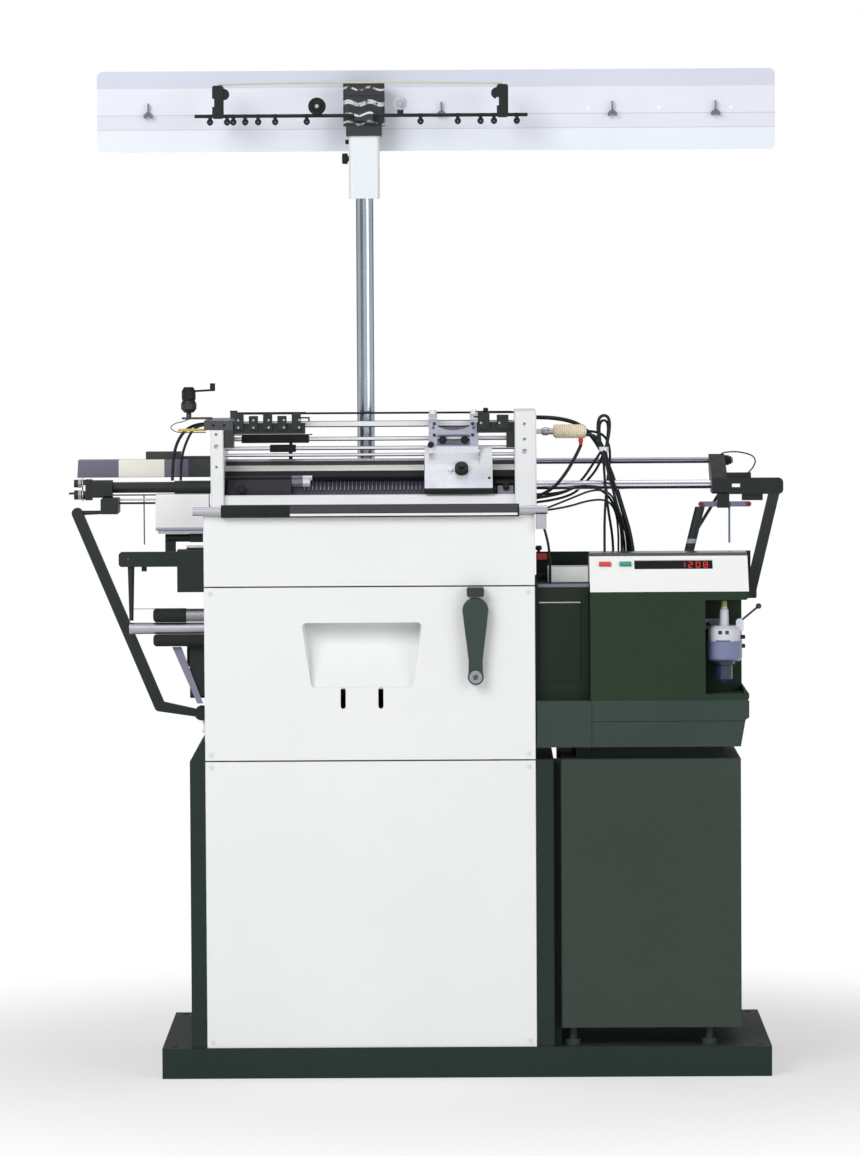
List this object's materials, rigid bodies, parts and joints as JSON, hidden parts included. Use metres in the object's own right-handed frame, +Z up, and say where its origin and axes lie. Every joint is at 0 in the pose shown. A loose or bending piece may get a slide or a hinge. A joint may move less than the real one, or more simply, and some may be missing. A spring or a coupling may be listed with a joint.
{
  "type": "industrial glove knitting machine",
  "caption": "Free-standing automatic glove knitting machine: white cabinet on a dark base, flat needle head with a sliding carriage, control box, and a yarn board on a chrome pole.",
  "frame": {"origin": "centre of the base's underside, on the floor", "axes": "+X to the viewer's right along the needle bed, -Y towards the front, +Z up"},
  "size_m": [1.369, 0.587, 1.91],
  "materials": {
    "white_paint": "semi-gloss off-white enamel",
    "white_plastic": "white moulded sleeve",
    "chute_sheet": "pressed sheet, pale",
    "dark_paint": "fine textured charcoal green-grey",
    "rear_paint": "off-white enamel",
    "board_paint": "pale lavender-white enamel sheet",
    "black_paint": "black enamel on castings",
    "frame_steel": "machined steel plate",
    "bright_steel": "ground steel",
    "chrome_rod": "polished chrome",
    "dark_steel": "blackened steel",
    "grey_metal": "lavender-grey enamel",
    "black_plastic": "black moulded plastic",
    "fittings": "zinc-plated steel",
    "roller_rubber": "black rubber",
    "motor_grey": "grey cast housing",
    "clear_plastic": "pale plastic",
    "red_plastic": "red push button",
    "green_plastic": "green push button",
    "bowl_plastic": "translucent bowl",
    "cap_white": "cast cap",
    "lever_steel": "steel lever",
    "coil_wire": "cream winding",
    "cable_sheath": "black cable sheath"
  },
  "bodies": {
    "machine": {"base_frame": "dark_paint", "side_columns": "dark_paint", "frame_plates": "frame_steel", "lower_front_panel": "white_paint", "middle_front_panel": "white_paint", "upper_front_panel": "white_paint", "rear_cover": "rear_paint", "glove_chute": "chute_sheet", "deck": "white_paint", "panel_fittings": "fittings", "start_bar_sleeves": "fittings", "drive_motor": "motor_grey", "drive_belt": "roller_rubber", "head_plates": "white_paint", "bed_casting": "white_paint", "needle_beds": "bright_steel", "needles": "bright_steel", "carriage_rail": "dark_steel", "yarn_rails": "bright_steel", "rail_block": "grey_metal", "yarn_selectors": "black_paint", "guide_rods": "chrome_rod", "rod_end_bracket": "black_paint", "left_end_block": "black_paint", "support_arms": "black_paint", "pole": "chrome_rod", "pole_sleeve": "white_plastic", "tension_block": "black_paint", "tension_bar": "black_paint", "yarn_guides": "black_plastic", "yarn_board": "board_paint", "electrical_cabinet": "dark_paint", "drive_cover": "dark_paint", "control_box": "dark_paint", "console": "white_paint", "lubricator_cap": "cap_white", "lubricator_bowl": "bowl_plastic", "side_bracket": "black_paint", "side_box": "grey_metal", "needle_box": "white_paint", "yarn_coil": "coil_wire", "head_cables": "cable_sheath"},
    "carriage": {"cam_plates": "bright_steel", "carriage_bridge": "bright_steel"},
    "stitch_knob": {"stitch_knob": "black_plastic"},
    "start_bar": {"start_bar": "black_paint"},
    "front_lever": {"front_lever": "black_plastic"},
    "carrier_upper": {"yarn_carrier_upper": "black_plastic"},
    "carrier_lower": {"yarn_carrier_lower": "black_plastic"},
    "red_button": {"red_button": "red_plastic"},
    "green_button": {"green_button": "green_plastic"},
    "oiler_lever": {"lubricator_lever": "lever_steel"},
    "steel_roller": {"take_down_roller": "bright_steel"},
    "high_roller": {"pressure_roller_high": "roller_rubber"},
    "low_roller": {"pressure_roller_low": "roller_rubber"},
    "motor_pulley": {"motor_pulley": "fittings"},
    "main_shaft": {"main_shaft": "bright_steel"},
    "small_crank": {"small_crank": "black_plastic"},
    "tension_dial": {"tension_dial": "black_plastic"},
    "clear_dial": {"clear_dial": "clear_plastic"}
  },
  "joints": [
    {"name": "carriage_slide", "type": "slide", "parent": "machine", "child": "carriage", "axis": [1, 0, 0], "range_m": [-0.366, 0.036]},
    {"name": "stitch_knob_turn", "type": "hinge", "parent": "carriage", "child": "stitch_knob", "pos_m": [-0.0045, -0.0917, 1.138], "axis": [0, -0.7071, 0.7071], "range_deg": [-120, 120]},
    {"name": "start_bar_turn", "type": "hinge", "parent": "machine", "child": "start_bar", "pos_m": [-0.1765, -0.286, 1.071], "axis": [1, 0, 0], "range_deg": [-12, 12]},
    {"name": "front_lever_swing", "type": "hinge", "parent": "machine", "child": "front_lever", "pos_m": [0.02, -0.295, 0.758], "axis": [0, 1, 0], "range_deg": [-30, 30]},
    {"name": "carrier_upper_slide", "type": "slide", "parent": "machine", "child": "carrier_upper", "axis": [1, 0, 0], "range_m": [-0.025, 0.385]},
    {"name": "carrier_lower_slide", "type": "slide", "parent": "machine", "child": "carrier_lower", "axis": [1, 0, 0], "range_m": [-0.08, 0.41]},
    {"name": "red_button_press", "type": "slide", "parent": "machine", "child": "red_button", "axis": [0, 0.7071, -0.7071], "range_m": [0, 0.0025], "stiffness_N_per_m": 400},
    {"name": "green_button_press", "type": "slide", "parent": "machine", "child": "green_button", "axis": [0, 0.7071, -0.7071], "range_m": [0, 0.0025], "stiffness_N_per_m": 400},
    {"name": "oiler_lever_pump", "type": "hinge", "parent": "machine", "child": "oiler_lever", "pos_m": [0.518, -0.236, 0.855], "axis": [0, 1, 0], "range_deg": [-12, 35]},
    {"name": "steel_roller_spin", "type": "hinge", "parent": "machine", "child": "steel_roller", "pos_m": [-0.55, -0.1, 0.841], "axis": [1, 0, 0], "continuous": true},
    {"name": "high_roller_spin", "type": "hinge", "parent": "machine", "child": "high_roller", "pos_m": [-0.55, -0.1, 0.8658], "axis": [1, 0, 0], "continuous": true},
    {"name": "low_roller_spin", "type": "hinge", "parent": "machine", "child": "low_roller", "pos_m": [-0.55, -0.1, 0.818], "axis": [1, 0, 0], "continuous": true},
    {"name": "main_shaft_spin", "type": "hinge", "parent": "machine", "child": "main_shaft", "pos_m": [0, 0.06, 0.48], "axis": [1, 0, 0], "continuous": true},
    {"name": "motor_spin", "type": "hinge", "parent": "machine", "child": "motor_pulley", "pos_m": [0.05, 0.06, 0.172], "axis": [1, 0, 0], "continuous": true},
    {"name": "small_crank_turn", "type": "hinge", "parent": "machine", "child": "small_crank", "pos_m": [-0.528, 0, 1.28], "axis": [0, 0, 1], "continuous": true},
    {"name": "tension_dial_turn", "type": "hinge", "parent": "machine", "child": "tension_dial", "pos_m": [-0.28, 0.096, 1.838], "axis": [0, 1, 0], "range_deg": [-150, 150]},
    {"name": "clear_dial_turn", "type": "hinge", "parent": "machine", "child": "clear_dial", "pos_m": [-0.119, 0.096, 1.843], "axis": [0, 1, 0], "range_deg": [-150, 150]}
  ],
  "couplings": [
    {"joint": "high_roller_spin", "follows": "steel_roller_spin", "ratio": -0.81481},
    {"joint": "low_roller_spin", "follows": "steel_roller_spin", "ratio": -0.94017},
    {"joint": "motor_spin", "follows": "main_shaft_spin", "ratio": 2.25}
  ]
}
